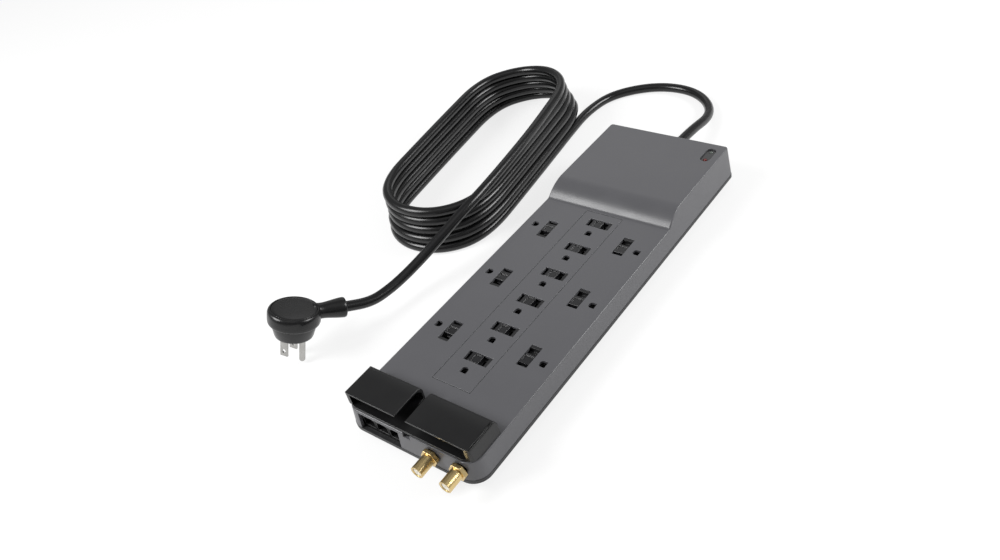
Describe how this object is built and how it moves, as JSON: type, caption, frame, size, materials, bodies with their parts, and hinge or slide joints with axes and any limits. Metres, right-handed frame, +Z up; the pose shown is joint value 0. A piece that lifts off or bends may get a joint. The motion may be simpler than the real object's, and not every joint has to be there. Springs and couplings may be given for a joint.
{
  "type": "surge protector power strip",
  "caption": "Long grey surge protector with sliding-shutter outlets, a raised electronics end, phone and coax jacks, a cord clip and a coiled cord with a swivel plug.",
  "frame": {"origin": "floor level under the middle of the strip's own bounding box, without the free cord, its coil and its plug", "axes": "+Z up, +Y along the strip towards the raised electronics end where the cord leaves, +X across it"},
  "size_m": [0.2831, 0.5003, 0.0523],
  "materials": {
    "grey_housing": "fine satin texture",
    "black_housing": "satin",
    "steel": "zinc plated",
    "rubber": "matte",
    "shutter_black": "satin",
    "socket_black": "matte",
    "contact_brass": "rolled strip",
    "board_green": "solder mask",
    "varistor_blue": "epoxy dip",
    "component_black": "moulded",
    "copper_winding": "enamelled wire",
    "component_yellow": "moulded box",
    "button_red": "moulded",
    "lens_smoke": "smoked clear",
    "led_green": "tinted epoxy",
    "led_red": "tinted epoxy",
    "jack_black": "moulded",
    "gold": "gold flash over brass",
    "dielectric": "natural polyethylene",
    "cord_black": "satin PVC jacket",
    "wire_insulation": "PVC insulation",
    "plug_black": "moulded PVC",
    "nickel": "nickel plated brass"
  },
  "bodies": {
    "strip": {"top_cover": "grey_housing", "outlet_panel": "grey_housing", "base_pan": "black_housing", "cover_screws": "steel", "rubber_feet": "rubber", "socket_block_center": "socket_black", "socket_block_left": "socket_black", "socket_block_right": "socket_black", "neutral_contacts": "contact_brass", "line_contacts": "contact_brass", "ground_contacts": "contact_brass", "surge_board": "board_green", "varistors": "varistor_blue", "thermal_fuse": "component_black", "filter_choke": "copper_winding", "filter_capacitor": "component_yellow", "circuit_breaker": "component_black", "status_window": "lens_smoke", "protected_led": "led_green", "ground_led": "led_red", "phone_board": "board_green", "phone_jack_1": "jack_black", "phone_jack_2": "jack_black", "phone_jack_3": "jack_black", "jack_contacts": "gold", "coax_ports": "gold", "coax_nuts": "gold", "coax_insulators": "dielectric", "cord_clip": "black_housing", "strain_relief": "cord_black", "internal_wires": "wire_insulation", "power_cord_exit": "cord_black", "power_cord_coil": "cord_black", "power_cord_end": "cord_black", "plug_head": "plug_black", "plug_cap": "plug_black", "plug_contact_rings": "contact_brass"},
    "outlet_shutter_01": {"outlet_shutter_01": "shutter_black"},
    "outlet_shutter_02": {"outlet_shutter_02": "shutter_black"},
    "outlet_shutter_03": {"outlet_shutter_03": "shutter_black"},
    "outlet_shutter_04": {"outlet_shutter_04": "shutter_black"},
    "outlet_shutter_05": {"outlet_shutter_05": "shutter_black"},
    "outlet_shutter_06": {"outlet_shutter_06": "shutter_black"},
    "outlet_shutter_07": {"outlet_shutter_07": "shutter_black"},
    "outlet_shutter_08": {"outlet_shutter_08": "shutter_black"},
    "outlet_shutter_09": {"outlet_shutter_09": "shutter_black"},
    "outlet_shutter_10": {"outlet_shutter_10": "shutter_black"},
    "outlet_shutter_11": {"outlet_shutter_11": "shutter_black"},
    "outlet_shutter_12": {"outlet_shutter_12": "shutter_black"},
    "reset_button": {"reset_button": "button_red"},
    "plug_prongs": {"plug_base": "plug_black", "plug_blades": "nickel", "plug_ground_pin": "nickel"}
  },
  "joints": [
    {"name": "outlet_shutter_01_slide", "type": "slide", "parent": "strip", "child": "outlet_shutter_01", "axis": [1, 0, 0], "range_m": [0, 0.0046]},
    {"name": "outlet_shutter_02_slide", "type": "slide", "parent": "strip", "child": "outlet_shutter_02", "axis": [1, 0, 0], "range_m": [0, 0.0046]},
    {"name": "outlet_shutter_03_slide", "type": "slide", "parent": "strip", "child": "outlet_shutter_03", "axis": [1, 0, 0], "range_m": [0, 0.0046]},
    {"name": "outlet_shutter_04_slide", "type": "slide", "parent": "strip", "child": "outlet_shutter_04", "axis": [1, 0, 0], "range_m": [0, 0.0046]},
    {"name": "outlet_shutter_05_slide", "type": "slide", "parent": "strip", "child": "outlet_shutter_05", "axis": [1, 0, 0], "range_m": [0, 0.0046]},
    {"name": "outlet_shutter_06_slide", "type": "slide", "parent": "strip", "child": "outlet_shutter_06", "axis": [1, 0, 0], "range_m": [0, 0.0046]},
    {"name": "outlet_shutter_07_slide", "type": "slide", "parent": "strip", "child": "outlet_shutter_07", "axis": [0, -1, 0], "range_m": [0, 0.0046]},
    {"name": "outlet_shutter_08_slide", "type": "slide", "parent": "strip", "child": "outlet_shutter_08", "axis": [0, -1, 0], "range_m": [0, 0.0046]},
    {"name": "outlet_shutter_09_slide", "type": "slide", "parent": "strip", "child": "outlet_shutter_09", "axis": [0, -1, 0], "range_m": [0, 0.0046]},
    {"name": "outlet_shutter_10_slide", "type": "slide", "parent": "strip", "child": "outlet_shutter_10", "axis": [0, 1, 0], "range_m": [0, 0.0046]},
    {"name": "outlet_shutter_11_slide", "type": "slide", "parent": "strip", "child": "outlet_shutter_11", "axis": [0, 1, 0], "range_m": [0, 0.0046]},
    {"name": "outlet_shutter_12_slide", "type": "slide", "parent": "strip", "child": "outlet_shutter_12", "axis": [0, 1, 0], "range_m": [0, 0.0046]},
    {"name": "reset_button_push", "type": "slide", "parent": "strip", "child": "reset_button", "axis": [0, -1, 0], "range_m": [0, 0.002], "stiffness_N_per_m": 400},
    {"name": "plug_swivel", "type": "hinge", "parent": "strip", "child": "plug_prongs", "pos_m": [-0.1486, -0.1426, 0.0244], "axis": [0.109, 0.343, 0.933], "continuous": true}
  ]
}
